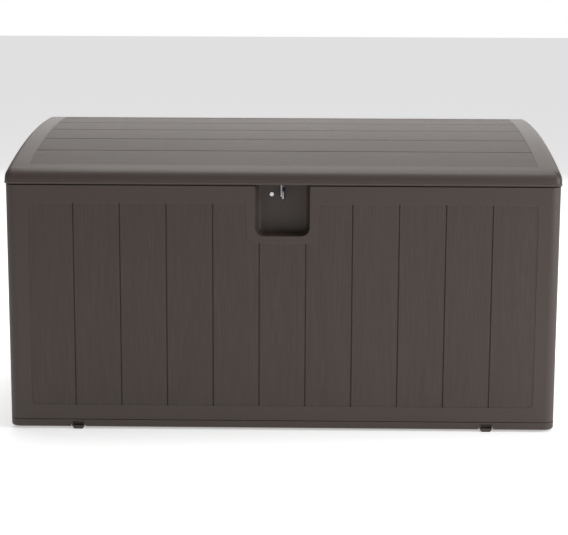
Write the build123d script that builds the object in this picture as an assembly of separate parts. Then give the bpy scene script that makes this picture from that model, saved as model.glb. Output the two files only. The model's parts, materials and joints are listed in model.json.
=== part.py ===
"""Resin deck storage box with a waterfall lid, built as the separate pieces it is screwed
together from. Millimetres, +Z up, +X along the width, front towards -Y. The origin is on
the ground under the middle of the box.
"""
import os
from math import asin, atan2, cos, degrees, hypot, radians, sin

from build123d import *

os.makedirs("parts", exist_ok=True)

# ---- overall sizes -------------------------------------------------------------------
lid_width = 1406.0
lid_front = -380.0
lid_back = 365.0
box_width = 1402.0
box_front = -378.0
box_back = 363.0
box_depth = box_back - box_front
box_mid = (box_back + box_front) / 2
box_corner = 27.0
overall_height = 747.0

# ---- levels above the ground -----------------------------------------------------------
skirt_z = 6.0
skirt_top = 25.0
deck_top = 26.5
deck_thick = 4.0
seam_z = 633.0
lip_top = 643.0
lid_z = 636.5

# ---- moulded walls -----------------------------------------------------------------------
wall = 5.5
flange_depth = 20.0
flange_thick = 5.0
rib_depth = 17.0
rib_thick = 3.5
lip_outer = 8.0
lip_inner = 12.0
return_end = -338.0
joint_gap = 0.4
plank_pitch = 117.7
plank_count = 11
field_recess = 1.0
field_radius = 10.0
field_low = 64.0
field_high = seam_z - 45.0
field_half = 644.0
groove_side = 3.1
wall_rib_levels = (190.0, 350.0, 505.0)

# ---- latch pocket in the front panel ------------------------------------------------------
pocket_width = 139.0
pocket_depth = 46.0
pocket_low = seam_z - 127.0
pocket_radius = 23.0
pocket_draft = 7.4
pocket_wall = 4.0
pocket_back = box_front + pocket_depth
apron_width = 181.6
apron_low = seam_z - 145.4
apron_radius = 33.0

# ---- joints between the panels ------------------------------------------------------------
tab_outer = 10.2
tab_inner = 14.7
tab_y = -349.0
corner_screw_levels = (100.0, 260.0, 420.0, 580.0)

# ---- lid ---------------------------------------------------------------------------------
lip_band = 3.5
bead = 0.8
roll_radius = 24.0
roll_centre = 649.0
rear_roll_radius = 50.0
front_slope = 12.8
rim_radius = 20.0
lid_wall = 4.0
liner_outer = 16.0
liner_inner = 19.0
liner_low = lip_top + 1.5
band_height = 4.0
web_reach = 33.0
cross_web_y = (-110.0, 140.0)
lid_field_half = 646.0
lid_field_front = lid_front + 55.0
lid_field_back = lid_front + 680.0
lid_recess = 0.8
first_plank = 126.0
lid_plank = 123.5
lid_groove_count = 4

# ---- hinges ------------------------------------------------------------------------------
hinge_y = 372.0
hinge_z = 624.0
pin_radius = 3.0
knuckle_radius = 8.0
hinge_x = (-510.0, -170.0, 170.0, 510.0)
open_angle = 85.0

# ---- lid struts --------------------------------------------------------------------------
upper_pivot = (hinge_y - 70.0, hinge_z - 25.0)
lower_pivot = (hinge_y - 90.0, hinge_z - 225.0)
strut_x = 663.0
tube_radius = 9.0
rod_radius = 4.0
ball_radius = 4.5

# ---- fasteners ---------------------------------------------------------------------------
screw_radius = 2.0
screw_head = 5.0
screw_play = 0.05


# ---- plain helpers -------------------------------------------------------------------------
def block(x0, x1, y0, y1, z0, z1):
    """A box between two limits on each axis."""
    size = Box(x1 - x0, y1 - y0, z1 - z0)
    return Pos((x0 + x1) / 2, (y0 + y1) / 2, (z0 + z1) / 2) * size


def rod(axis, radius, start, end, a, b):
    """A cylinder along X, Y or Z. a and b are its place on the other two axes, in order."""
    length = end - start
    middle = (start + end) / 2
    if axis == "X":
        return Pos(middle, a, b) * Rot(0, 90, 0) * Cylinder(radius, length)
    if axis == "Y":
        return Pos(a, middle, b) * Rot(90, 0, 0) * Cylinder(radius, length)
    return Pos(a, b, middle) * Cylinder(radius, length)


def flip_x(shape):
    return shape.mirror(Plane.YZ)


def flip_y(shape):
    """The same shape on the other side of the box's middle, front to back."""
    return shape.mirror(Plane.XZ.offset(-box_mid))


def save(shape, name):
    shape.label = name
    export_step(shape, f"parts/{name}.step")


def outline_prism(inset, z0, z1):
    """The box's own plan outline, pulled in by inset, between two levels."""
    corner = max(box_corner - inset, 2.0)
    plan = RectangleRounded(box_width - 2 * inset, box_depth - 2 * inset, corner)
    return Pos(0, box_mid, z0) * extrude(plan, z1 - z0)


def ring(outer, inner, z0, z1):
    return outline_prism(outer, z0, z1) - outline_prism(inner, z0 - 1, z1 + 1)


def upright_groove(x, y, z0, z1):
    """A V-shaped bar standing on edge, to cut a plank joint."""
    return Pos(x, y, (z0 + z1) / 2) * Rot(0, 0, 45) * Box(groove_side, groove_side, z1 - z0)


def screw(length, head_height=3.0, radius=screw_radius, head=screw_head):
    """A pan-head screw: head above z = 0, shank below it, with a slot for the driver."""
    top = fillet((Pos(0, 0, head_height / 2) * Cylinder(head, head_height)).edges().group_by(
        Axis.Z)[-1], head_height * 0.45)
    slot = Pos(0, 0, head_height) * Box(head * 1.3, 1.2, 2.0)
    cross = Pos(0, 0, head_height) * Box(1.2, head * 1.3, 2.0)
    shank = Pos(0, 0, -length / 2) * Cylinder(radius, length)
    return top + shank - slot - cross


def group(shapes):
    return Compound(children=list(shapes))


# ---- base --------------------------------------------------------------------------------
foot_x = 525.0
foot_back = box_front + 42.0
window_depth = 10.0


def trapezoid(low_half, high_half, z0, z1, y0, y1):
    points = [(-low_half, z0), (low_half, z0), (high_half, z1), (-high_half, z1)]
    face = Plane.XZ * make_face(Polyline(*points, close=True))
    return Pos(0, y1, 0) * extrude(face, y1 - y0)


def make_base():
    outer = outline_prism(0, skirt_z, skirt_top)
    outer = chamfer(outer.faces().sort_by(Axis.Z)[0].edges(), 3.0)
    skirt = outer - outline_prism(7, skirt_z - 1, skirt_top + 1)
    deck = outline_prism(wall, deck_top - deck_thick, deck_top)
    deck_under = deck_top - deck_thick
    base = skirt + deck
    for i in range(plank_count - 1):
        x = (i - plank_count / 2 + 1) * plank_pitch
        base += block(x - 2, x + 2, box_front + 5, box_back - 5, 12, deck_under + 0.1)
    for i in range(-2, 3):
        y = box_mid + i * 125.0
        base += block(-box_width / 2 + 5, box_width / 2 - 5, y - 2, y + 2, 12, deck_under + 0.1)
    for x in (-foot_x, foot_x):
        for turn in (lambda s: s, flip_y):
            clear = block(-21, 21, box_front + 8, foot_back + 3, skirt_z - 1, deck_under)
            window = trapezoid(19, 17, skirt_z - 1, 20.5, box_front - 1, box_front + 9)
            base -= turn(Pos(x, 0, 0) * (clear + window))
    for x, y in base_screw_places():
        base -= rod("Z", screw_radius + screw_play, 12, deck_top + 1, x, y)
    return base


def make_foot():
    """One moulded foot: a chamfered pad whose nose stands in the skirt's notch."""
    pad = trapezoid(11, 17, 0, 9, box_front + 0.4, foot_back)
    pad = chamfer(pad.edges().filter_by(Axis.Y).group_by(Axis.Z)[0], 1.0)
    stem_front = box_front + window_depth
    stem = block(-15, 15, stem_front, foot_back, 8.9, deck_top - deck_thick)
    side = block(-17, -13.5, box_front + 0.4, stem_front + 1, 8.9, 20.0)
    return pad + stem + side + flip_x(side)


def base_screw_places():
    """Screws through the panels' bottom flanges, at the middle of the flange."""
    inset = flange_depth - 7.0
    places = []
    for i in range(-4, 5, 2):
        for y in (box_front + inset, box_back - inset):
            places.append((i * plank_pitch, y))
    for y in (-200.0, 0.0, 190.0):
        for x in (-box_width / 2 + inset, box_width / 2 - inset):
            places.append((x, y))
    return places


# ---- wall panels ---------------------------------------------------------------------------
def wall_blank():
    """The whole ring of walls, before it is cut into four panels."""
    skin = ring(0, wall, deck_top, seam_z)
    low_flange = ring(wall - 0.1, flange_depth, deck_top, deck_top + flange_thick)
    top_flange = ring(wall - 0.1, flange_depth, seam_z - flange_thick, seam_z)
    lip = ring(lip_outer, lip_inner, seam_z - 0.1, lip_top)
    return skin + low_flange + top_flange + lip


def field_plate(with_apron):
    """The recessed plank field, as a plate to cut from the front or rear face."""
    high = field_high
    plate = Pos(0, (field_low + high) / 2, 0) * RectangleRounded(
        2 * field_half, high - field_low, field_radius)
    if with_apron:
        tall = 200.0
        middle = apron_low + tall / 2
        plate -= Pos(0, middle, 0) * RectangleRounded(apron_width, tall, apron_radius)
        inner = plate.vertices().filter_by(
            lambda v: abs(v.Y - high) < 0.1 and abs(v.X) < apron_width)
        plate = fillet(inner, 8.0)
    return Pos(0, box_front + field_recess, 0) * extrude(Plane.XZ * plate, 5.0)


def end_panel(with_pocket):
    """The front panel, or the rear one before it is turned round."""
    reach = block(-box_width, box_width, box_front - 1, return_end, 0, lip_top + 1)
    panel = wall_blank() & reach
    inside = box_front + wall - 0.1
    for level in wall_rib_levels:
        panel += block(-670, 670, inside, box_front + rib_depth, level, level + rib_thick)
    for i in range(plank_count - 1):
        x = (i - plank_count / 2 + 1) * plank_pitch
        panel += block(x - rib_thick / 2, x + rib_thick / 2, inside, box_front + rib_depth,
                       deck_top + 4, seam_z - 4)
    edge = box_width / 2
    rail = block(edge - tab_outer + 0.2, edge - wall + 0.1, tab_y - 11, return_end,
                 deck_top + flange_thick, seam_z - flange_thick)
    panel += rail + flip_x(rail)
    if with_pocket:
        panel = add_pocket(panel)
    panel -= field_plate(with_pocket)
    for i in range(plank_count - 1):
        x = (i - plank_count / 2 + 1) * plank_pitch
        top = apron_low if with_pocket and abs(x) < apron_width / 2 else field_high
        panel -= upright_groove(x, box_front + field_recess, field_low, top)
    for level in corner_screw_levels:
        hole = rod("X", screw_radius + screw_play, edge - 30, edge - 3.4, tab_y, level)
        panel -= hole + flip_x(hole)
    for x, y in base_screw_places():
        if y < box_front + flange_depth:
            panel -= rod("Z", screw_radius + screw_play, deck_top - 1, deck_top + 20, x, y)
    return panel


def pocket_body(grow, depth):
    """The pocket's shape from the front face inwards; it runs up past the seam."""
    width = pocket_width + 2 * grow
    low = pocket_low - grow
    high = seam_z + 60.0
    mouth = Pos(0, (low + high) / 2, 0) * RectangleRounded(
        width, high - low, pocket_radius + grow)
    body = extrude(Plane.XZ.offset(-box_front) * mouth, -depth, taper=pocket_draft)
    back = body.faces().sort_by(Axis.Y)[-1]
    return fillet(back.edges(), 12.0)


def add_pocket(panel):
    hollow = pocket_body(0, pocket_depth)
    shell = pocket_body(pocket_wall, pocket_depth + pocket_wall)
    shell &= block(-200, 200, box_front, box_front + 80, 0, seam_z)
    above = block(-pocket_width / 2 - pocket_wall, pocket_width / 2 + pocket_wall,
                  box_front - 1, box_front + 80, seam_z, lip_top + 1)
    panel = panel + shell - hollow - above
    slot = block(-2.0, 5.0, pocket_back - 5, pocket_back + 10, ear_low - 4, ear_high + 4)
    bolt_hole = rod("Y", lock_bolt_radius + screw_play, pocket_back - 5, pocket_back + 10,
                    lock_bolt_x, lock_bolt_z)
    return panel - slot - bolt_hole


def side_panel():
    """The left wall, which slides between the front and rear panels' returns."""
    start = return_end + joint_gap
    end = 2 * box_mid - start
    panel = wall_blank() & block(-box_width, -500, start, end, 0, lip_top + 1)
    face = -box_width / 2
    field_start = start + 40.0
    field_end = end - 40.0
    pitch = (field_end - field_start) / 5
    for level in wall_rib_levels:
        panel += block(face + wall - 0.1, face + rib_depth, start, end, level, level + rib_thick)
    for i in range(1, 5):
        y = field_start + i * pitch
        panel += block(face + wall - 0.1, face + rib_depth, y - rib_thick / 2,
                       y + rib_thick / 2, deck_top + 4, seam_z - 4)
    web = block(face + wall - 0.1, face + tab_inner, start, start + 4, deck_top + 9, seam_z - 9)
    tab = block(face + tab_outer, face + tab_inner, tab_y - 11, start + 4, deck_top + 9,
                seam_z - 9)
    panel += web + tab + flip_y(web) + flip_y(tab)
    recess = block(face - 5, face + field_recess, field_start, field_end, field_low, field_high)
    panel -= fillet(recess.edges().filter_by(Axis.X), field_radius)
    for i in range(1, 5):
        y = field_start + i * pitch
        panel -= upright_groove(face + field_recess, y, field_low, field_high)
    panel = add_hand_grip(panel, face)
    pad = block(face + wall - 0.1, face + bracket_pad, lower_pivot[0] - 26, lower_pivot[0] + 26,
                lower_pivot[1] - 24, lower_pivot[1] + 24)
    panel += pad
    for dy, dz in strut_screw_offsets:
        panel -= rod("X", screw_radius + screw_play, face + bracket_pad - 9.5,
                     face + bracket_pad + 1, lower_pivot[0] + dy, lower_pivot[1] + dz)
    for level in corner_screw_levels:
        hole = rod("X", screw_radius + screw_play, face + tab_outer - 1, face + tab_inner + 1,
                   tab_y, level)
        panel -= hole + flip_y(hole)
    for x, y in base_screw_places():
        if x < face + flange_depth:
            panel -= rod("Z", screw_radius + screw_play, deck_top - 1, deck_top + 20, x, y)
    return panel


grip_width = 150.0
grip_low = 505.0
grip_high = 556.0
grip_depth = 30.0


def add_hand_grip(panel, face):
    """A moulded finger pocket with a lip along its top."""
    def shape(grow, depth):
        body = block(face - 5, face + depth, box_mid - grip_width / 2 - grow,
                     box_mid + grip_width / 2 + grow, grip_low - grow, grip_high + grow)
        body = fillet(body.edges().filter_by(Axis.X), 14.0 + grow)
        return fillet(body.faces().sort_by(Axis.X)[-1].edges(), 8.0)
    shell = shape(3.5, grip_depth + 3.5) & block(face + 2, 0, -300, 300, 0, seam_z)
    return panel + shell - shape(0, grip_depth)


# ---- lock --------------------------------------------------------------------------------
ear_low = 596.0
ear_high = 624.0
lock_hole_z = 611.0
lock_hole_y = -351.0
lock_hole_radius = 4.5
lock_bolt_x = -28.0
lock_bolt_z = 608.0
lock_bolt_radius = 2.5
plate = 3.0


def make_lock_bracket():
    """A bent steel bracket: a flange behind the pocket wall and an ear through its slot."""
    back = pocket_back + pocket_wall
    flange = block(-44, plate, back, back + plate, ear_low - 6, ear_high + 6)
    flange = fillet(flange.edges().filter_by(Axis.Y).group_by(Axis.X)[0], 6.0)
    ear = block(0, plate, lock_hole_y - 11, back + plate, ear_low, ear_high)
    ear = fillet(ear.edges().filter_by(Axis.X).group_by(Axis.Y)[0], 9.0)
    hole = rod("X", lock_hole_radius, -1, plate + 1, lock_hole_y, lock_hole_z)
    bolt_hole = rod("Y", lock_bolt_radius + screw_play, back - 1, back + plate + 1,
                    lock_bolt_x, lock_bolt_z)
    return flange + ear - hole - bolt_hole


def make_lock_bolt():
    bolt = screw(18.0, 3.2, lock_bolt_radius, 5.8)
    return Pos(lock_bolt_x, pocket_back, lock_bolt_z) * Rot(90, 0, 0) * bolt


def make_lock_nut():
    back = pocket_back + pocket_wall + plate
    prism = extrude(RegularPolygon(4.6, 6), 4.0) - Cylinder(lock_bolt_radius + screw_play, 20)
    return Pos(lock_bolt_x, back + 4.0, lock_bolt_z) * Rot(90, 0, 0) * prism


hasp_front = -362.0
hasp_back = -340.0
hasp_low = 601.5
hasp_x = -4.6
boss_under = liner_low


def make_lid_hasp():
    """The lid's own plate, which hangs beside the bracket's ear when the lid is down."""
    blade = block(hasp_x, hasp_x + plate, hasp_front, hasp_back, hasp_low, boss_under)
    blade = fillet(blade.edges().filter_by(Axis.X).group_by(Axis.Z)[0], 8.0)
    flange = block(-40, hasp_x + plate, hasp_front + 1, hasp_back, boss_under - plate, boss_under)
    flange = fillet(flange.edges().filter_by(Axis.Z).group_by(Axis.X)[0], 5.0)
    hasp = blade + flange
    hasp -= rod("X", lock_hole_radius, hasp_x - 1, hasp_x + plate + 1, lock_hole_y, lock_hole_z)
    for x in hasp_screw_x:
        hasp -= rod("Z", screw_radius + screw_play, boss_under - 5, boss_under + 1, x, lock_hole_y)
    return hasp


hasp_screw_x = (-32.0, -15.0)


# ---- lid ---------------------------------------------------------------------------------
class LidArc:
    """Centre and radius of one arc of the lid's side profile."""

    def __init__(self, y, z, radius):
        self.y, self.z, self.radius = y, z, radius

    def point(self, tilt, inset):
        """A point on the arc, tilt degrees from straight up towards the front."""
        reach = self.radius - inset
        return (self.y - reach * sin(radians(tilt)), self.z + reach * cos(radians(tilt)))

    def tilt_at(self, y, inset):
        """The tilt of the arc's surface above y."""
        return degrees(asin((self.y - y) / (self.radius - inset)))

    def sweep(self, tilt0, tilt1, inset):
        middle = (tilt0 + tilt1) / 2
        return ThreePointArc(self.point(tilt0, inset), self.point(middle, inset),
                             self.point(tilt1, inset))


def lid_arcs():
    """Front roll, long arch and rear roll, each tangent to the next."""
    front = LidArc(lid_front + roll_radius, roll_centre, roll_radius)
    rear = LidArc(lid_back - rear_roll_radius, overall_height + bead - rear_roll_radius,
                  rear_roll_radius)
    span_y = rear.y - front.y
    span_z = rear.z - front.z
    along = -span_y * sin(radians(front_slope)) + span_z * cos(radians(front_slope))
    step = rear_roll_radius - roll_radius
    reach = (step ** 2 - span_y ** 2 - span_z ** 2) / (2 * along + 2 * step)
    arch = LidArc(front.y + reach * sin(radians(front_slope)),
                  front.z - reach * cos(radians(front_slope)), reach + roll_radius)
    rear_slope = degrees(atan2(arch.y - rear.y, rear.z - arch.z))
    return front, arch, rear, rear_slope


front_arc, arch_arc, rear_arc, rear_slope = lid_arcs()


def lid_blank(inset, floor=lid_z):
    """The lid's outer form, pulled in by inset on every side but its open bottom."""
    low_front = (lid_front + inset, floor)
    tilt = front_slope
    if inset < roll_radius - 1.0:
        start = [Line(low_front, front_arc.point(90, inset)),
                 front_arc.sweep(90, front_slope, inset)]
    else:
        tilt = arch_arc.tilt_at(lid_front + inset, inset)
        start = [Line(low_front, arch_arc.point(tilt, inset))]
    arch = arch_arc.sweep(tilt, rear_slope, inset)
    back_roll = rear_arc.sweep(rear_slope, -90, inset)
    drop = Line(rear_arc.point(-90, inset), (lid_back - inset, floor))
    close = Line((lid_back - inset, floor), (lid_front + inset, floor))
    side = Plane.YZ * make_face([*start, arch, back_roll, drop, close])
    half = lid_width / 2 - inset
    solid = Pos(-half, 0, 0) * extrude(side, 2 * half)
    radius = rim_radius - inset
    if radius < 1.5:
        return solid
    rims = [e for e in solid.edges()
            if abs(abs(e.center().X) - half) < 0.01 and e.center().Z > floor + 0.01]
    return fillet(rims, radius)


def lid_groove(y):
    """A V-shaped bar along the lid's width, square to the arch at y."""
    tilt = arch_arc.tilt_at(y, 0)
    place_y, place_z = arch_arc.point(tilt, bead + lid_recess)
    bar = Rot(45 + tilt, 0, 0) * Box(2 * lid_field_half, groove_side, groove_side)
    return Pos(0, place_y, place_z) * bar


boss_x = (-600.0, -176.5, 176.5, 600.0)
boss_y = (-250.0, 30.0, 260.0)
boss_screw_drop = 24.0


def lid_height(y, inset):
    """The height of the arch's surface, pulled in by inset, at a place along its depth."""
    reach = arch_arc.radius - inset
    return arch_arc.z + (reach ** 2 - (y - arch_arc.y) ** 2) ** 0.5


def make_lid_shell():
    body = lid_blank(bead)
    band = lid_blank(0) & block(-lid_width, lid_width, -400, 400, 0, lid_z + lip_band)
    shell = body + band - lid_blank(bead + lid_wall, lid_z - 1)
    skin = lid_blank(bead) - lid_blank(bead + lid_recess)
    field = block(-lid_field_half, lid_field_half, lid_field_front, lid_field_back, 600, 800)
    shell -= skin & fillet(field.edges().filter_by(Axis.Z), field_radius)
    for i in range(lid_groove_count):
        shell -= lid_groove(lid_field_front + first_plank + i * lid_plank)
    solid = lid_blank(3)
    for x in boss_x:
        for y in boss_y:
            low = lid_height(y, liner_outer) - 4
            post = rod("Z", 7, low, overall_height, x, y) & solid
            post -= lid_blank(liner_outer - 0.1)
            hole = rod("Z", screw_radius + screw_play, low - 30, lid_height(y, 6), x, y)
            shell = shell + post - hole
    for x in hinge_x:
        for dx, z in lid_leaf_screws:
            shell -= rod("Y", screw_radius + screw_play, lid_back - 20, lid_back + 5, x + dx, z)
    return shell


def make_lid_liner():
    """The lid's inner skin: stiffening bands on its top, ribs and screw pads under it."""
    low = block(-lid_width, lid_width, -400, 400, liner_low, 900)
    liner = (lid_blank(liner_outer) - lid_blank(liner_inner, lid_z - 1)) & low
    bands = (lid_blank(liner_outer - band_height) - lid_blank(liner_outer + 0.1, lid_z - 1)) & low
    for i in range(lid_groove_count):
        y = lid_field_front + first_plank + i * lid_plank
        liner += bands & block(-lid_width, lid_width, y - 3, y + 3, liner_low, 900)
    web = lid_blank(liner_inner - 0.1) - lid_blank(web_reach, lid_z - 1)
    for i in range(-5, 6):
        x = i * plank_pitch
        liner += web & block(x - 2, x + 2, -340, 330, lid_z + 14, 900)
    for y in cross_web_y:
        liner += web & block(-lid_width, lid_width, y - 2, y + 2, lid_z + 14, 900)
    lock_boss = block(-52, 52, lid_front + liner_inner - 0.1, hasp_back + 4, boss_under, 700)
    liner += lock_boss & lid_blank(liner_inner - 0.1)
    for side in (-1, 1):
        x0 = lid_width / 2 - liner_inner
        pad = block(x0 - 4, x0 + 0.1, upper_pivot[0] - 26, upper_pivot[0] + 30,
                    liner_low, lid_z + 60)
        liner += pad if side > 0 else flip_x(pad)
    for x in boss_x:
        for y in boss_y:
            floor = lid_height(y, liner_inner) - 9
            pad = rod("Z", 9, floor, overall_height, x, y) & lid_blank(liner_inner - 0.1)
            liner = liner + pad
            liner -= rod("Z", screw_radius + screw_play, floor - 30, overall_height, x, y)
    for x in hasp_screw_x:
        liner -= rod("Z", screw_radius + screw_play, boss_under - 1, boss_under + 14, x,
                     lock_hole_y)
    for side in (-1, 1):
        for dy, dz in upper_screw_offsets:
            hole = rod("X", screw_radius + screw_play, upper_pad_x - 1, lid_width / 2 - 10,
                       upper_pivot[0] + dy, upper_screw_z + dz)
            liner -= hole if side > 0 else flip_x(hole)
    return liner


upper_pad_x = lid_width / 2 - liner_inner - 4
upper_screw_z = lid_z + 34.0
upper_screw_offsets = ((-14.0, 0.0), (16.0, 0.0))


def lid_screw_group():
    screws = []
    for x in boss_x:
        for y in boss_y:
            floor = lid_height(y, liner_inner) - 9
            screws.append(Pos(x, y, floor) * Rot(180, 0, 0) * screw(18.0))
    return group(screws)


def lid_bumper_group():
    """Soft stops under the lid's liner that rest on the walls' top flange."""
    pads = []
    for x in (-560.0, -300.0, 300.0, 560.0):
        pad = rod("Z", 4.5, seam_z, liner_low, x, lid_front + liner_outer + 3.0)
        pads.append(fillet(pad.edges().group_by(Axis.Z)[0], 1.5))
    return group(pads)


# ---- hinges ------------------------------------------------------------------------------
leaf = 3.0
leaf_half = 36.0
end_knuckle = (18.5, 36.0)
mid_knuckle = 18.0
box_leaf_screws = ((-24.0, 596.0), (24.0, 596.0), (0.0, 584.0))
lid_leaf_screws = ((-24.0, 664.0), (24.0, 664.0), (0.0, 676.0))


def make_box_leaf(x):
    """A wall-side hinge leaf with a knuckle at each end."""
    body = block(-leaf_half, leaf_half, box_back, box_back + leaf, 574, hinge_z - 4)
    body = fillet(body.edges().filter_by(Axis.Y).group_by(Axis.Z)[0], 6.0)
    body -= block(-mid_knuckle - 0.5, mid_knuckle + 0.5, box_back - 1, box_back + 20, 614, 650)
    for start, end in (end_knuckle, (-end_knuckle[1], -end_knuckle[0])):
        eye = rod("X", knuckle_radius, start, end, hinge_y, hinge_z)
        neck = block(start, end, box_back, hinge_y, hinge_z - knuckle_radius, hinge_z)
        body += eye + neck
    body -= rod("X", pin_radius, -60, 60, hinge_y, hinge_z)
    for dx, z in box_leaf_screws:
        body -= rod("Y", screw_radius + screw_play, box_back - 5, box_back + 10, dx, z)
    return Pos(x, 0, 0) * body


def make_lid_leaf(x):
    """A lid-side hinge leaf with one knuckle in the middle."""
    back = lid_back - bead
    body = block(-leaf_half, leaf_half, back, back + leaf, lid_z + lip_band + 2, 686)
    body = fillet(body.edges().filter_by(Axis.Y).group_by(Axis.Z)[-1], 6.0)
    eye = rod("X", knuckle_radius, -mid_knuckle, mid_knuckle, hinge_y, hinge_z)
    neck = block(-mid_knuckle, mid_knuckle, lid_back + 0.4, lid_back + 4.4, hinge_z,
                 lid_z + lip_band + 2.1)
    shoulder = block(-mid_knuckle, mid_knuckle, back, lid_back + 4.4, lid_z + lip_band + 1,
                     lid_z + lip_band + 5)
    body += eye + neck + shoulder
    body -= rod("X", pin_radius + 0.05, -60, 60, hinge_y, hinge_z)
    for dx, z in lid_leaf_screws:
        body -= rod("Y", screw_radius + screw_play, lid_back - 5, lid_back + 10, dx, z)
    return Pos(x, 0, 0) * body


def make_hinge_pin(x):
    pin = rod("X", pin_radius, -38.5, 37.0, hinge_y, hinge_z)
    head = fillet(rod("X", 5.0, -39.5, -36.1, hinge_y, hinge_z).edges(), 0.8)
    tip = chamfer(pin.edges().group_by(Axis.X)[-1], 0.8)
    return Pos(x, 0, 0) * (tip + head)


def rear_screw_group(places, face):
    screws = []
    for x in hinge_x:
        for dx, z in places:
            screws.append(Pos(x + dx, face, z) * Rot(-90, 0, 0) * screw(8.0, 2.4, screw_radius, 4.4))
    return group(screws)


# ---- lid struts --------------------------------------------------------------------------
bracket_pad = 17.0
strut_screw_offsets = ((-17.0, 0.0), (17.0, 0.0))
bracket_thick = 3.0
eye_thick = 8.0
eye_radius = 8.0
stud_gap = 0.5


def strut_line():
    dy = upper_pivot[0] - lower_pivot[0]
    dz = upper_pivot[1] - lower_pivot[1]
    return hypot(dy, dz), degrees(atan2(dy, dz))


strut_length, strut_lean = strut_line()
tube_start = 12.0
tube_end = strut_length - 28.0


def lay_strut(shape):
    """Stand a strut piece, drawn up from the origin, on the right-hand lower pivot."""
    return Pos(strut_x, lower_pivot[0], lower_pivot[1]) * Rot(-strut_lean, 0, 0) * shape


def make_strut_tube():
    tube = Pos(0, 0, (tube_start + tube_end) / 2) * Cylinder(tube_radius, tube_end - tube_start)
    tube = fillet(tube.edges().group_by(Axis.Z)[0], 3.0)
    tube -= Pos(0, 0, (tube_start + tube_end) / 2) * Cylinder(
        tube_radius - 1.5, tube_end - tube_start - 10)
    tube -= Pos(0, 0, tube_end) * Cylinder(rod_radius + 0.05, 40)
    eye = rod("X", eye_radius, -eye_thick / 2, eye_thick / 2, 0, 0)
    neck = Pos(0, 0, tube_start / 2 + 1) * Cylinder(4.5, tube_start)
    eye = eye + neck - rod("X", ball_radius + 0.05, -10, 10, 0, 0)
    return lay_strut(tube + eye)


def make_strut_rod():
    """The bright rod with its piston and upper eye."""
    low = tube_end - 118.0
    shaft = Pos(0, 0, (low + strut_length - 8) / 2) * Cylinder(rod_radius, strut_length - 8 - low)
    piston = Pos(0, 0, low + 4) * Cylinder(tube_radius - 1.6, 8)
    eye = rod("X", eye_radius, -eye_thick / 2, eye_thick / 2, 0, strut_length)
    neck = Pos(0, 0, strut_length - 12) * Cylinder(5.5, 12)
    socket = rod("X", ball_radius + 0.6, -10, 10, 0, strut_length)
    return lay_strut(shaft + piston + neck + eye - socket)


def make_lower_bracket():
    """The wall-side plate with the stud that the strut's lower eye turns on."""
    y, z = lower_pivot
    back = box_width / 2 - bracket_pad
    body = block(back - bracket_thick, back, y - 25, y + 25, z - 13, z + 13)
    body = fillet(body.edges().filter_by(Axis.X), 6.0)
    body += rod("X", 7.0, strut_x + eye_thick / 2 + 0.5, back, y, z)
    body += rod("X", ball_radius, strut_x - eye_thick / 2 - 1, back, y, z)
    body += rod("X", 6.5, strut_x - eye_thick / 2 - 3, strut_x - eye_thick / 2 - 0.5, y, z)
    for dy, dz in strut_screw_offsets:
        body -= rod("X", screw_radius + screw_play, back - 10, back + 10, y + dy, z + dz)
    return body


def make_upper_bracket():
    """The lid-side arm whose stud stands beside the strut's upper eye."""
    y, z = upper_pivot
    body = block(upper_pad_x - bracket_thick, upper_pad_x, y - 23, y + 25,
                 upper_screw_z - 12, upper_screw_z + 14)
    body = fillet(body.edges().filter_by(Axis.X), 6.0)
    arm = block(upper_pad_x - bracket_thick, upper_pad_x, y - 10, y + 10, z, upper_screw_z)
    toe = rod("X", 10.0, upper_pad_x - bracket_thick, upper_pad_x, y, z)
    stud_tip = strut_x + eye_thick / 2 + stud_gap
    body = body + arm + toe + rod("X", ball_radius, stud_tip, upper_pad_x, y, z)
    for dy, dz in upper_screw_offsets:
        body -= rod("X", screw_radius + screw_play, upper_pad_x - 10, upper_pad_x + 10,
                    y + dy, upper_screw_z + dz)
    return body


def side_screw_group(places, x, length):
    screws = []
    for y, z in places:
        one = Pos(x, y, z) * Rot(0, -90, 0) * screw(length, 2.4, screw_radius, 4.4)
        screws += [one, flip_x(one)]
    return group(screws)


def corner_screw_group():
    screws = []
    for y in (tab_y, 2 * box_mid - tab_y):
        for level in corner_screw_levels:
            one = Pos(box_width / 2 - tab_inner, y, level) * Rot(0, -90, 0) * screw(11.0)
            screws += [one, flip_x(one)]
    return group(screws)


def base_screw_group():
    top = deck_top + flange_thick
    return group(Pos(x, y, top) * screw(14.0, 2.4, screw_radius, 4.4)
                 for x, y in base_screw_places())


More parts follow.
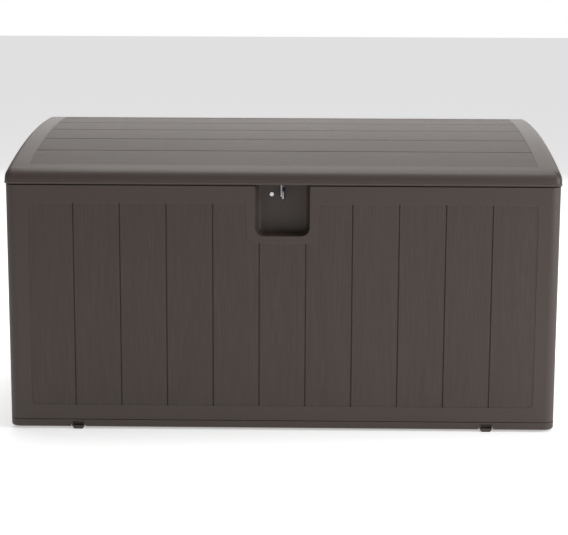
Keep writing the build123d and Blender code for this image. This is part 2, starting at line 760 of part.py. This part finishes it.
# ---- the pieces --------------------------------------------------------------------------
def main():
    save(make_base(), "base_tray")
    foot = Pos(-foot_x, 0, 0) * make_foot()
    save(foot, "foot_front_left")
    save(flip_x(foot), "foot_front_right")
    save(flip_y(foot), "foot_rear_left")
    save(flip_x(flip_y(foot)), "foot_rear_right")

    save(end_panel(with_pocket=True), "front_panel")
    rear = flip_y(end_panel(with_pocket=False))
    for x in hinge_x:
        for dx, z in box_leaf_screws:
            rear -= rod("Y", screw_radius + screw_play, box_back - 8, box_back + 1, x + dx, z)
    save(rear, "rear_panel")
    left = side_panel()
    save(left, "side_panel_left")
    save(flip_x(left), "side_panel_right")
    save(corner_screw_group(), "corner_screws")
    save(base_screw_group(), "base_screws")

    save(make_lock_bracket(), "lock_bracket")
    save(make_lock_bolt(), "lock_bolt")
    save(make_lock_nut(), "lock_nut")
    save(make_lid_hasp(), "lid_hasp")
    save(group(Pos(x, lock_hole_y, boss_under - plate) * Rot(180, 0, 0) * screw(12.0, 2.0,
         screw_radius, 4.4) for x in hasp_screw_x), "hasp_screws")

    save(make_lid_shell(), "lid_shell")
    save(make_lid_liner(), "lid_liner")
    save(lid_screw_group(), "lid_screws")
    save(lid_bumper_group(), "lid_bumpers")

    for number, x in enumerate(hinge_x, start=1):
        save(make_box_leaf(x), f"hinge_box_leaf_{number}")
        save(make_lid_leaf(x), f"hinge_lid_leaf_{number}")
        save(make_hinge_pin(x), f"hinge_pin_{number}")
    save(rear_screw_group(box_leaf_screws, box_back + leaf), "hinge_box_screws")
    save(rear_screw_group(lid_leaf_screws, lid_back - bead + leaf), "hinge_lid_screws")

    for side, turn in (("right", lambda s: s), ("left", flip_x)):
        save(turn(make_strut_tube()), f"strut_tube_{side}")
        save(turn(make_strut_rod()), f"strut_rod_{side}")
        save(turn(make_lower_bracket()), f"strut_lower_bracket_{side}")
        save(turn(make_upper_bracket()), f"strut_upper_bracket_{side}")
    wall_places = [(lower_pivot[0] + dy, lower_pivot[1] + dz) for dy, dz in strut_screw_offsets]
    save(side_screw_group(wall_places, box_width / 2 - bracket_pad - bracket_thick, 12.0),
         "strut_lower_screws")
    lid_places = [(upper_pivot[0] + dy, upper_screw_z + dz) for dy, dz in upper_screw_offsets]
    save(side_screw_group(lid_places, upper_pad_x - bracket_thick, 9.0), "strut_upper_screws")


main()
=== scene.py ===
# %% [markdown]
# # A resin deck storage box
# The box is moulded polypropylene: four plank-panelled walls, a base tray and a wide lid that
# rises towards the back. Its shape and its joints come from the CAD frame. This script gives
# each surface its finish, and models the lid's outer skin again, with softer edges.

# %% Load the frame
import json
import math

import bmesh
import bpy
from mathutils import Matrix, Vector


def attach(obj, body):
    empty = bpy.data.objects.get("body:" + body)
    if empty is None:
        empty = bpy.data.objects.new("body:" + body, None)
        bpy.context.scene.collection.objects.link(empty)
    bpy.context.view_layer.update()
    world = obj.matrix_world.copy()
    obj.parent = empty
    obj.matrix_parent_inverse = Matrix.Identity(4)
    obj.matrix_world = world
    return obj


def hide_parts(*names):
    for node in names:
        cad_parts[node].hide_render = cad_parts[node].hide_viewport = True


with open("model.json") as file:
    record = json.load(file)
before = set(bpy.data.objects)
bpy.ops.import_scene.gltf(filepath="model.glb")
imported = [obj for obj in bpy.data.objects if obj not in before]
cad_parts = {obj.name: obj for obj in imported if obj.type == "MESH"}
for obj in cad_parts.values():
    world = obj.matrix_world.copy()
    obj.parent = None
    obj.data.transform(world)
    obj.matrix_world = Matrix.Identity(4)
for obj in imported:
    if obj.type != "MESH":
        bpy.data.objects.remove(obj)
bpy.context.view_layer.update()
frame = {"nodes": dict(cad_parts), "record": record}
nodes = frame["nodes"]

# %% [markdown]
# ## The camera and the room
# A long lens from more than four metres away keeps the front nearly square. It stands a little
# to the right of the middle and looks down by ten degrees. The room is white all round, with a
# big soft light above, another behind that glances off the lid, and a weaker one at the right,
# which brightens the right-hand rim.

# %% The camera
IMAGE_WIDTH = 568  # in the same unit as FOCAL_LENGTH
FOCAL_LENGTH = 1600.0
CAMERA_PLACE = Vector((0.0678, -4.3642, 1.1367))


def make_camera():
    data = bpy.data.cameras.new("camera")
    data.sensor_width = 36.0
    data.lens = FOCAL_LENGTH / IMAGE_WIDTH * data.sensor_width
    camera = bpy.data.objects.new("camera", data)
    turn = (Matrix.Rotation(math.radians(0.91), 4, "Z")
            @ Matrix.Rotation(math.radians(90 - 10.10), 4, "X")
            @ Matrix.Rotation(math.radians(0.22), 4, "Z"))
    camera.matrix_world = Matrix.Translation(CAMERA_PLACE) @ turn
    bpy.context.scene.collection.objects.link(camera)
    bpy.context.scene.camera = camera
    print("camera lens", round(data.lens, 1), "mm")


make_camera()


# %% The lights
def soft_light(name, place, target, size, power):
    data = bpy.data.lights.new(name, "AREA")
    data.shape = "RECTANGLE"
    data.size, data.size_y = size
    data.energy = power
    light = bpy.data.objects.new(name, data)
    aim = Vector(target) - Vector(place)
    light.matrix_world = (Matrix.Translation(Vector(place))
                          @ aim.to_track_quat("-Z", "Y").to_matrix().to_4x4())
    bpy.context.scene.collection.objects.link(light)


soft_light("overhead", (0.2, 0.5, 3.2), (0, 0.0, 0.6), (3.2, 2.0), 80)
soft_light("behind", (0.2, 4.6, 2.3), (0, 0.0, 0.6), (5.0, 2.4), 77)
soft_light("right_side", (3.0, -1.4, 1.5), (0.5, 0, 0.45), (1.2, 1.6), 56)
print("three soft lights")

# %% [markdown]
# ## Writing shader maths
# A pattern is easier to read as a sum than as a row of nodes. Socket wraps one output socket
# and turns +, -, * and / into Math nodes, so the recipes below look like ordinary formulas.


# %% One wrapped socket
class Socket:
    """An output socket that can be used in sums."""

    def __init__(self, recipe, link):
        self.recipe, self.link = recipe, link

    def maths(self, operation, *values):
        inputs = {i: v for i, v in enumerate(values)}
        return self.recipe.node("ShaderNodeMath", {"operation": operation}, inputs)

    def __add__(self, other):
        return self.maths("ADD", self, other)

    def __sub__(self, other):
        return self.maths("SUBTRACT", self, other)

    def __rsub__(self, other):
        return self.maths("SUBTRACT", other, self)

    def __mul__(self, other):
        return self.maths("MULTIPLY", self, other)

    def __truediv__(self, other):
        return self.maths("DIVIDE", self, other)

    def __abs__(self):
        return self.maths("ABSOLUTE", self)

    __radd__, __rmul__ = __add__, __mul__

    def larger(self, other):
        return self.maths("MAXIMUM", self, other)

    def smaller(self, other):
        return self.maths("MINIMUM", self, other)

    def root(self):
        return self.maths("SQRT", self)

    def clipped(self):
        return self.larger(0.0).smaller(1.0)


# %% One material being written
class Recipe:
    """A new material and its Principled shader."""

    def __init__(self, name):
        self.material = bpy.data.materials.new(name)
        self.material.use_nodes = True
        self.tree = self.material.node_tree
        self.shader = self.tree.nodes["Principled BSDF"]
        place = self.node("ShaderNodeTexCoord", {}, {}, "Object")
        self.place = place
        self.x = self.node("ShaderNodeSeparateXYZ", {}, {"Vector": place}, "X")
        self.y = self.node("ShaderNodeSeparateXYZ", {}, {"Vector": place}, "Y")
        self.z = self.node("ShaderNodeSeparateXYZ", {}, {"Vector": place}, "Z")

    def node(self, kind, settings, inputs, output=0):
        new = self.tree.nodes.new(kind)
        for setting, value in settings.items():
            setattr(new, setting, value)
        for socket, value in inputs.items():
            self.feed(new.inputs[socket], value)
        return Socket(self, new.outputs[output])

    def feed(self, socket, value):
        if isinstance(value, Socket):
            self.tree.links.new(value.link, socket)
        else:
            socket.default_value = value

    def vector(self, x, y, z):
        return self.node("ShaderNodeCombineXYZ", {}, {"X": x, "Y": y, "Z": z})

    def noise(self, vector, scale, detail=3.0, rough=0.55):
        return self.node("ShaderNodeTexNoise", {},
                         {"Vector": vector, "Scale": scale, "Detail": detail, "Roughness": rough})

    def mix(self, factor, low, high):
        return self.node("ShaderNodeMix", {"data_type": "RGBA"},
                         {"Factor": factor, "A": low, "B": high}, "Result")

    def bump(self, height, strength, distance):
        return self.node("ShaderNodeBump", {}, {"Height": height, "Strength": strength,
                                                "Distance": distance})

    def finish(self, **sockets):
        for name, value in sockets.items():
            self.feed(self.shader.inputs[name.replace("_", " ").title()], value)
        return self.material


print("shader helpers ready")

# %% [markdown]
# ## The room's paint
# The floor and the background are the same clean white, so the box seems to stand on paper.


# %% Floor and background
def make_room():
    world = bpy.data.worlds.new("room")
    world.use_nodes = True
    tree = world.node_tree
    seen = tree.nodes["Background"]
    seen.inputs["Color"].default_value = (1, 1, 1, 1)
    fill = tree.nodes.new("ShaderNodeBackground")
    fill.inputs["Color"].default_value = (1, 1, 1, 1)
    fill.inputs["Strength"].default_value = 0.31
    which = tree.nodes.new("ShaderNodeMixShader")
    path = tree.nodes.new("ShaderNodeLightPath")
    tree.links.new(path.outputs["Is Camera Ray"], which.inputs[0])
    tree.links.new(fill.outputs[0], which.inputs[1])
    tree.links.new(seen.outputs[0], which.inputs[2])
    tree.links.new(which.outputs[0], tree.nodes["World Output"].inputs["Surface"])
    bpy.context.scene.world = world
    bpy.context.scene.view_settings.view_transform = "Standard"

    sheet = bmesh.new()
    bmesh.ops.create_grid(sheet, x_segments=1, y_segments=1, size=30)
    mesh = bpy.data.meshes.new("floor")
    sheet.to_mesh(mesh)
    sheet.free()
    floor = bpy.data.objects.new("floor", mesh)
    bpy.context.scene.collection.objects.link(floor)
    paint = Recipe("floor_white")
    speck = paint.noise(paint.place, 3.0)
    mesh.materials.append(paint.finish(
        base_color=(0.95, 0.95, 0.95, 1), roughness=0.85 + 0.05 * speck,
        emission_color=(1, 1, 1, 1), emission_strength=0.45))


make_room()
print("white room")

# %% [markdown]
# ## Moulded resin
# The walls and the lid are one warm grey-brown resin. Inside each plank field the mould is cut
# with wood grain: fine streaks that wander a little, different on every plank. The borders are
# smooth with a faint orange-peel. A painted highlight, a thin lighter line of colour, runs along
# the field's edge, and the plank joints gather dust, so they are darker.

# %% Outlines of the fields, in metres
PLANK = 0.1177
FIELD_HALF, FIELD_LOW, FIELD_HIGH, FIELD_ROUND = 0.644, 0.064, 0.588, 0.010
APRON_HALF, APRON_LOW, APRON_HIGH, APRON_ROUND = 0.0908, 0.4876, 0.6876, 0.033
SIDE_LOW_Y, SIDE_HIGH_Y, SIDE_PLANK = -0.2976, 0.2826, 0.11604
LID_HALF, LID_LOW_Y, LID_HIGH_Y = 0.646, -0.325, 0.300
LID_FIRST, LID_PLANK, LID_JOINTS = -0.199, 0.1235, 4
LID_RELIEF, WALL_RELIEF, RESIN_SPECULAR = 1.0, 0.55, 0.42
# the lighter colour below is a painted highlight, laid along the edge of every plank field
FIELD_EDGE_PAINTED_HIGHLIGHT = (0.100, 0.083, 0.076, 1)
RESIN_DARK = (0.030, 0.024, 0.021, 1)


def rounded_box(a, b, middle, half, radius):
    """How far outside a rounded rectangle a point (a, b) lies; negative is inside."""
    over_a = abs(a - middle[0]) - (half[0] - radius)
    over_b = abs(b - middle[1]) - (half[1] - radius)
    corner_a, corner_b = over_a.larger(0.0), over_b.larger(0.0)
    corner = (corner_a * corner_a + corner_b * corner_b).root()
    return corner + over_a.larger(over_b).smaller(0.0) - radius


def near_joint(place, first, pitch):
    """Distance from the nearest plank joint, and the number of the plank."""
    count = (place - first) / pitch + 0.5
    number = count.maths("FLOOR", count)
    return abs(count - number - 0.5) * pitch, number


# %% The resin recipe
def grained(recipe, across, along, plank_number, field, joint, relief):
    """Colour, roughness and relief of resin with wood grain inside a field."""
    inside = (0.5 - field / 0.0008).clipped()
    shift = recipe.node("ShaderNodeTexWhiteNoise", {"noise_dimensions": "1D"},
                        {"W": plank_number})
    wander = recipe.noise(recipe.vector(across * 9.0, along * 1.3, shift * 40.0), 1.0, 2.0)
    grain_place = recipe.vector(across * 620.0 + wander * 26.0, along * 11.0, shift * 90.0)
    streak = recipe.noise(grain_place, 1.0, 4.0, 0.6)
    broad = recipe.noise(recipe.vector(across * 130.0 + wander * 14.0, along * 4.0,
                                       shift * 50.0), 1.0, 3.0)
    pores = ((streak - 0.47) * 5.0).clipped()
    peel = recipe.noise(recipe.place, 900.0, 2.0)
    cloud = recipe.noise(recipe.place, 2.2, 2.0)

    grain_tone = (pores * 0.55 + broad * 0.6 - 0.18 + shift * 0.10).clipped()
    tone = inside * grain_tone + (1.0 - inside) * 0.42 + (cloud - 0.5) * 0.22
    colour = recipe.mix(tone.clipped(), (0.047, 0.0335, 0.0275, 1), (0.071, 0.0520, 0.0440, 1))
    # painted highlight: the colour turns lighter along the field's edge, standing in for light
    # caught by the edge step
    edge = (1.0 - abs(field) / 0.0014).clipped()
    colour = recipe.mix(edge * 0.5, colour, FIELD_EDGE_PAINTED_HIGHLIGHT)
    seam = (1.0 - joint / 0.0022).clipped() * inside
    colour = recipe.mix(seam * 0.75, colour, RESIN_DARK)
    rough = 0.50 + inside * 0.08 + (peel - 0.5) * 0.08 + (cloud - 0.5) * 0.06
    height = inside * (pores * 0.5 + broad * 0.6) + (1.0 - inside) * peel * 0.10
    return colour, rough, recipe.bump(height, relief, 0.0006)


def wall_resin():
    recipe = Recipe("resin_walls")
    x, y, z = recipe.x, recipe.y, recipe.z
    middle_z, half_z = (FIELD_LOW + FIELD_HIGH) / 2, (FIELD_HIGH - FIELD_LOW) / 2
    face = rounded_box(x, z, (0.0, middle_z), (FIELD_HALF, half_z), FIELD_ROUND)
    apron = rounded_box(x, z, (0.0, (APRON_LOW + APRON_HIGH) / 2),
                        (APRON_HALF, (APRON_HIGH - APRON_LOW) / 2), APRON_ROUND)
    front = y.maths("GREATER_THAN", 0.0 - y, 0.36)
    face = face.larger((0.0 - apron) * front - (1.0 - front))
    side = rounded_box(y, z, ((SIDE_LOW_Y + SIDE_HIGH_Y) / 2, middle_z),
                       ((SIDE_HIGH_Y - SIDE_LOW_Y) / 2, half_z), FIELD_ROUND)
    at_side = x.maths("GREATER_THAN", abs(x), 0.6975)
    field = face * (1.0 - at_side) + side * at_side
    deep = abs(y + 0.0075) + at_side
    field = field + x.maths("LESS_THAN", deep, 0.366)
    face_joint, face_number = near_joint(x, -PLANK / 2, PLANK)
    side_joint, side_number = near_joint(y, SIDE_LOW_Y, SIDE_PLANK)
    joint = face_joint * (1.0 - at_side) + side_joint * at_side
    number = face_number + 30.0 * side_number * at_side
    across = x * (1.0 - at_side) + y * at_side
    colour, rough, relief = grained(recipe, across, z, number, field, joint, WALL_RELIEF)
    recipe.shader.inputs["Specular IOR Level"].default_value = RESIN_SPECULAR
    return recipe.finish(base_color=colour, roughness=rough, normal=relief)


def lid_resin():
    recipe = Recipe("resin_lid")
    x, y, z = recipe.x, recipe.y, recipe.z
    field = rounded_box(x, y, (0.0, (LID_LOW_Y + LID_HIGH_Y) / 2),
                        (LID_HALF, (LID_HIGH_Y - LID_LOW_Y) / 2), FIELD_ROUND)
    field = field + x.maths("LESS_THAN", z, 0.665)
    joint, number = near_joint(y, LID_FIRST, LID_PLANK)
    colour, rough, relief = grained(recipe, y, x, number, field, joint, LID_RELIEF)
    recipe.shader.inputs["Specular IOR Level"].default_value = RESIN_SPECULAR
    return recipe.finish(base_color=colour, roughness=rough, normal=relief)


walls_finish = wall_resin()
lid_finish = lid_resin()
print("resin written:", walls_finish.name, lid_finish.name)


# %% [markdown]
# ## Metal, paint and rubber
# The fittings are bright zinc, brushed steel and black paint. Each has a small variation in
# gloss and colour, because a perfectly even metal looks like a drawing.

# %% The fittings' finishes
def worn_metal(name, dark, light, metallic, low_rough, high_rough, scale):
    recipe = Recipe(name)
    patch = recipe.noise(recipe.place, scale, 4.0)
    fine = recipe.noise(recipe.place, scale * 14.0, 2.0)
    colour = recipe.mix(patch, dark, light)
    rough = low_rough + (high_rough - low_rough) * patch + fine * 0.05
    return recipe.finish(base_color=colour, metallic=metallic, roughness=rough,
                         normal=recipe.bump(fine, 0.15, 0.0002))


finishes = {
    "resin": walls_finish,
    "steel_plate": worn_metal("brushed_steel", (0.30, 0.31, 0.34, 1), (0.50, 0.51, 0.54, 1),
                              1.0, 0.28, 0.45, 60.0),
    "zinc_screw": worn_metal("zinc", (0.70, 0.70, 0.72, 1), (0.90, 0.90, 0.92, 1),
                             1.0, 0.22, 0.38, 120.0),
    "coated_steel": worn_metal("grey_paint_on_steel", (0.045, 0.040, 0.038, 1),
                               (0.065, 0.058, 0.055, 1), 0.0, 0.38, 0.55, 80.0),
    "strut_black": worn_metal("black_paint", (0.012, 0.012, 0.013, 1),
                              (0.022, 0.022, 0.023, 1), 0.0, 0.30, 0.42, 60.0),
    "strut_rod": worn_metal("bright_rod", (0.60, 0.60, 0.62, 1), (0.75, 0.75, 0.77, 1),
                            1.0, 0.12, 0.20, 90.0),
    "rubber": worn_metal("rubber", (0.020, 0.020, 0.020, 1), (0.035, 0.034, 0.033, 1),
                         0.0, 0.70, 0.85, 70.0),
}
slots = {part["node"]: part["material_slot"] for part in frame["record"]["subparts"]}
for name, obj in nodes.items():
    lid_part = name.startswith("lid_shell") or name.startswith("lid_liner")
    obj.material_slots[0].material = lid_finish if lid_part else finishes[slots[name]]
print("finishes on", len(nodes), "pieces")

# %% [markdown]
# ## The lid
# The lid is the piece the eye meets first: a steep front roll, a long shallow arch and soft
# rims. Its side profile is drawn with straight steps and spins, made a face, and extruded
# across the width. A bevel rounds the rims. The plank field and its joints are then cut in with
# planes, and the cut points are pressed down. A thin mitre line is left at each front corner,
# where the mould's front and side plates meet, and a bead runs round the lower edge.

# %% The lid's measures, in metres
LID_WIDE, LID_FRONT, LID_BACK, LID_FLOOR = 0.7022, -0.3792, 0.3642, 0.6365
ARCH_MIDDLE, ARCH_RADIUS = (0.3114, -2.2964), 3.0434
ROLL_RADIUS, RIM, WALL = 0.030, 0.0200, 0.004
BACK_MIDDLE = (0.315, 0.6978)
BEAD_TOP, BEAD, BEAD_STEP = 0.6415, 0.0008, 0.0006
FIELD_DEPTH, FIELD_SLOPE, JOINT_DEPTH, JOINT_HALF = 0.0009, 0.001, 0.0021, 0.0022
TOP_FACES = 0.664
MITRE_REACH, MITRE_HALF, MITRE_DEPTH = 0.036, 0.0013, 0.0011


def make_object(name, b, body, finish, replaced, angle=32.0):
    """Turn a bmesh into a finished piece that rides on a body and stands for CAD nodes."""
    mesh = bpy.data.meshes.new(name)
    b.to_mesh(mesh)
    b.free()
    for polygon in mesh.polygons:
        polygon.use_smooth = True
    mesh.set_sharp_from_angle(angle=math.radians(angle))
    piece = bpy.data.objects.new(name, mesh)
    bpy.context.scene.collection.objects.link(piece)
    mesh.materials.append(finish)
    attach(piece, body)
    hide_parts(*replaced)
    print(name, len(mesh.polygons), "faces")
    return piece


def step_to(b, vert, y, z):
    """Draw a straight edge from vert to a place on the same side plane."""
    made = bmesh.ops.extrude_vert_indiv(b, verts=[vert])["verts"][0]
    made.co = Vector((vert.co.x, y, z))
    return made


def turn_about(b, vert, middle, angle, steps):
    """Draw an arc from vert about an axis along X."""
    made = bmesh.ops.spin(b, geom=[vert], cent=(vert.co.x, *middle), axis=(1, 0, 0),
                          angle=angle, steps=steps, use_duplicate=False)
    return [g for g in made["geom_last"] if isinstance(g, bmesh.types.BMVert)][0]


# %% The lid's side profile, extruded
def lid_prism():
    b = bmesh.new()
    roll_y = LID_FRONT + ROLL_RADIUS
    reach = ARCH_RADIUS - ROLL_RADIUS
    roll_z = ARCH_MIDDLE[1] + math.sqrt(reach ** 2 - (ARCH_MIDDLE[0] - roll_y) ** 2)
    front_tilt = math.asin((ARCH_MIDDLE[0] - roll_y) / reach)
    back_tilt = math.atan2(BACK_MIDDLE[0] - ARCH_MIDDLE[0], BACK_MIDDLE[1] - ARCH_MIDDLE[1])
    start = bmesh.ops.create_vert(b, co=(-LID_WIDE, LID_FRONT, LID_FLOOR))["vert"][0]
    end = step_to(b, start, LID_FRONT, BEAD_TOP)
    end = step_to(b, end, LID_FRONT, roll_z)
    end = turn_about(b, end, (roll_y, roll_z), -(math.pi / 2 - front_tilt), 14)
    end = turn_about(b, end, ARCH_MIDDLE, -(front_tilt + back_tilt), 40)
    end = turn_about(b, end, BACK_MIDDLE, -(math.pi / 2 - back_tilt), 12)
    end = step_to(b, end, LID_BACK, BEAD_TOP)
    end = step_to(b, end, LID_BACK, LID_FLOOR)
    bmesh.ops.remove_doubles(b, verts=b.verts, dist=1e-5)
    bmesh.ops.contextual_create(b, geom=[v for v in b.verts if v.co.z < LID_FLOOR + 1e-5])
    side = bmesh.ops.contextual_create(b, geom=b.edges[:])["faces"]
    made = bmesh.ops.extrude_face_region(b, geom=side)
    far = [g for g in made["geom"] if isinstance(g, bmesh.types.BMVert)]
    bmesh.ops.translate(b, verts=far, vec=(2 * LID_WIDE, 0, 0))
    bmesh.ops.recalc_face_normals(b, faces=b.faces)
    if b.calc_volume(signed=True) < 0:
        bmesh.ops.reverse_faces(b, faces=b.faces)
    print("lid prism", len(b.faces), "faces, roll middle at", round(roll_z, 4),
          "volume", round(b.calc_volume(signed=True), 4))
    return b


def cut(b, place, normal, near):
    """Cut the faces that near() picks with a plane, and return the new points."""
    faces = [f for f in b.faces if near(f.calc_center_median())]
    edges = {e for f in faces for e in f.edges}
    verts = {v for f in faces for v in f.verts}
    made = bmesh.ops.bisect_plane(b, geom=[*verts, *edges, *faces], dist=1e-6,
                                  plane_co=place, plane_no=normal)
    return [g for g in made["geom_cut"] if isinstance(g, bmesh.types.BMVert)]


# %% Rims, field, joints, mitres and bead
def lid_surface():
    b = lid_prism()
    rims = [e for e in b.edges if abs(e.verts[0].co.x - e.verts[1].co.x) < 1e-6
            and sum(v.co.z for v in e.verts) / 2 > LID_FLOOR + 1e-5]
    bmesh.ops.bevel(b, geom=rims, offset=RIM, offset_type="OFFSET", segments=7, profile=0.5,
                    affect="EDGES", material=-1, clamp_overlap=False)
    floor = [f for f in b.faces if all(v.co.z < LID_FLOOR + 1e-5 for v in f.verts)]
    bmesh.ops.delete(b, geom=floor, context="FACES")
    bmesh.ops.remove_doubles(b, verts=b.verts, dist=2e-5)

    def on_top(c):
        return c.z > TOP_FACES and abs(c.x) < LID_HALF + 0.002

    for side in (-1, 1):
        for x in (LID_HALF, LID_HALF - FIELD_SLOPE):
            cut(b, (side * x, 0, 0), (1, 0, 0), lambda c: c.z > LID_FLOOR)
    for y in (LID_LOW_Y, LID_LOW_Y + FIELD_SLOPE, LID_HIGH_Y - FIELD_SLOPE, LID_HIGH_Y):
        cut(b, (0, y, 0), (0, 1, 0), on_top)
    joints = [LID_FIRST + i * LID_PLANK for i in range(LID_JOINTS)]
    for y in joints:
        for shift in (-JOINT_HALF, 0.0, JOINT_HALF):
            cut(b, (0, y + shift, 0), (0, 1, 0), on_top)
    for v in b.verts:
        x, y = abs(v.co.x), v.co.y
        if v.co.z < TOP_FACES or x > LID_HALF - FIELD_SLOPE / 2 or not (
                LID_LOW_Y + FIELD_SLOPE / 2 < y < LID_HIGH_Y - FIELD_SLOPE / 2):
            continue
        depth = FIELD_DEPTH
        if min(abs(y - joint) for joint in joints) < 1e-4:
            depth += JOINT_DEPTH
        inward = Vector((0, ARCH_MIDDLE[0] - y, ARCH_MIDDLE[1] - v.co.z)).normalized()
        v.co += inward * depth
    return b


def press_mitres(b):
    """Press a thin line into each front corner, from the top of the roll to the bead."""
    for side in (-1, 1):
        corner = Vector((side * LID_WIDE, LID_FRONT, 0))
        across = Vector((1, side, 0)).normalized()

        def near(c):
            return (side * c.x > LID_WIDE - MITRE_REACH and c.y < LID_FRONT + MITRE_REACH
                    and c.z > BEAD_TOP)

        for shift in (-MITRE_HALF, MITRE_HALF):
            cut(b, corner + across * shift, across, near)
        b.normal_update()
        pressed = cut(b, corner, across, near)
        b.normal_update()
        for v in pressed:
            if v.co.z > BEAD_TOP + 0.0005:
                v.co -= v.normal * MITRE_DEPTH


def push_bead(b):
    """Move the lower edge out by the bead's thickness."""
    cut(b, (0, 0, BEAD_TOP + BEAD_STEP), (0, 0, 1), lambda c: c.z < 0.66)
    b.normal_update()
    moves = []
    for v in b.verts:
        if v.co.z < BEAD_TOP + 0.0002:
            out = Vector((v.normal.x, v.normal.y, 0))
            if out.length > 0.1:
                moves.append((v, out.normalized() * BEAD))
    for v, move in moves:
        v.co += move


lid_mesh = lid_surface()
press_mitres(lid_mesh)
push_bead(lid_mesh)
lid_piece = make_object("lid_skin", lid_mesh, "lid", lid_finish, ["lid_shell"])
wall_of_lid = lid_piece.modifiers.new("wall", "SOLIDIFY")
wall_of_lid.thickness = WALL
wall_of_lid.offset = -1.0
